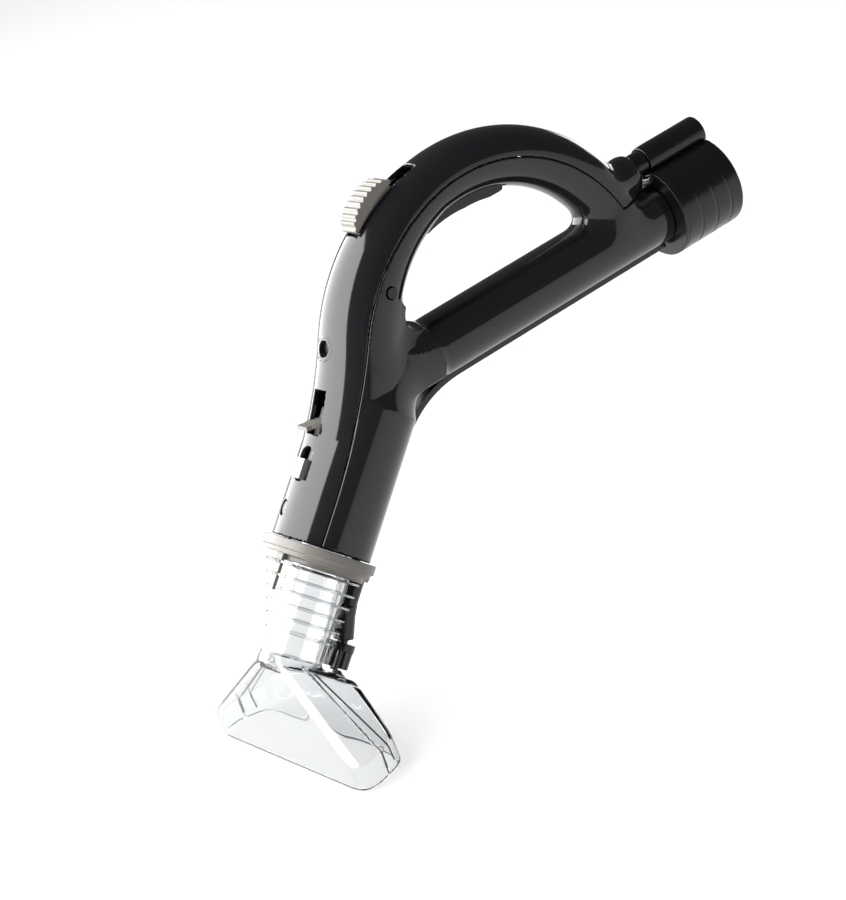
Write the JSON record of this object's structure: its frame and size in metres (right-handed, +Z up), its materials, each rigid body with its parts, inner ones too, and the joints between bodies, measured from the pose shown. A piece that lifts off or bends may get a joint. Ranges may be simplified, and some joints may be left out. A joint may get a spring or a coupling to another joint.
{
  "type": "upholstery hand tool of a carpet cleaner",
  "caption": "Spray-extraction hand tool: glossy D-handle with trigger and thumb slide, clear fan-shaped upholstery nozzle on a finned neck, and hose connector end.",
  "frame": {"origin": "centre of the nozzle's mouth, on the plane of the mouth's rim", "axes": "+X along the suction strut towards the hose, +Z up from the mouth's plane, Y across the tool; Y = 0 is the plane of symmetry"},
  "size_m": [0.3055, 0.12, 0.2098],
  "materials": {
    "handle_gloss": "glossy anthracite moulding",
    "black_plastic": "black moulding",
    "satin_grey": "satin warm grey moulding",
    "clear_plastic": "clear moulded plastic",
    "steel": "plain steel",
    "seal_rubber": "moulded seal rubber",
    "white_plastic": "natural moulded plastic"
  },
  "bodies": {
    "handle": {"front_shell": "handle_gloss", "rear_shell": "handle_gloss", "back_strip": "black_plastic", "suction_duct": "black_plastic", "collar": "satin_grey", "trigger_pin": "steel", "valve_body": "white_plastic", "feed_tube_upper": "white_plastic", "feed_tube_lower": "white_plastic", "feed_socket": "black_plastic", "screw_upper": "steel", "screw_lower": "steel", "inlet_stub": "black_plastic"},
    "trigger": {"trigger": "black_plastic", "trigger_spring": "steel"},
    "valve_stem": {"valve_stem": "white_plastic"},
    "thumb_slide": {"thumb_slide": "satin_grey", "slide_plate": "white_plastic"},
    "latch": {"latch_slide": "satin_grey", "latch_button": "satin_grey"},
    "nozzle": {"nozzle_front": "clear_plastic", "nozzle_rear": "clear_plastic", "neck_seal": "seal_rubber", "spray_pipe": "black_plastic", "union_nut": "black_plastic", "jet_tip": "black_plastic", "pipe_seal": "seal_rubber"},
    "hose_end": {"hose_cuff": "black_plastic", "solution_sleeve": "black_plastic"}
  },
  "joints": [
    {"name": "trigger_pivot", "type": "hinge", "parent": "handle", "child": "trigger", "pos_m": [0.10496, 0, 0.1676], "axis": [0, -1, 0], "range_deg": [0, 3.5], "stiffness_Nm_per_rad": 1.2, "springref_deg": -6.88, "deforming": ["trigger_spring"]},
    {"name": "valve_stroke", "type": "slide", "parent": "handle", "child": "valve_stem", "axis": [-0.5, 0, 0.866], "range_m": [0, 0.00145]},
    {"name": "thumb_slide_travel", "type": "hinge", "parent": "handle", "child": "thumb_slide", "pos_m": [0.1605, 0, 0.121], "axis": [0, 1, 0], "range_deg": [0, 8]},
    {"name": "latch_travel", "type": "slide", "parent": "handle", "child": "latch", "axis": [0.7071, 0, 0.7071], "range_m": [0, 0.005], "stiffness_N_per_m": 300, "springref_m": -0.004},
    {"name": "nozzle_pull_off", "type": "slide", "parent": "handle", "child": "nozzle", "axis": [-0.7071, 0, -0.7071], "range_m": [0, 0.035]},
    {"name": "hose_end_pull_off", "type": "slide", "parent": "handle", "child": "hose_end", "axis": [1, 0, 0], "range_m": [0, 0.025]}
  ],
  "couplings": [
    {"joint": "valve_stroke", "follows": "trigger_pivot", "m_per_rad": 0.0234}
  ]
}
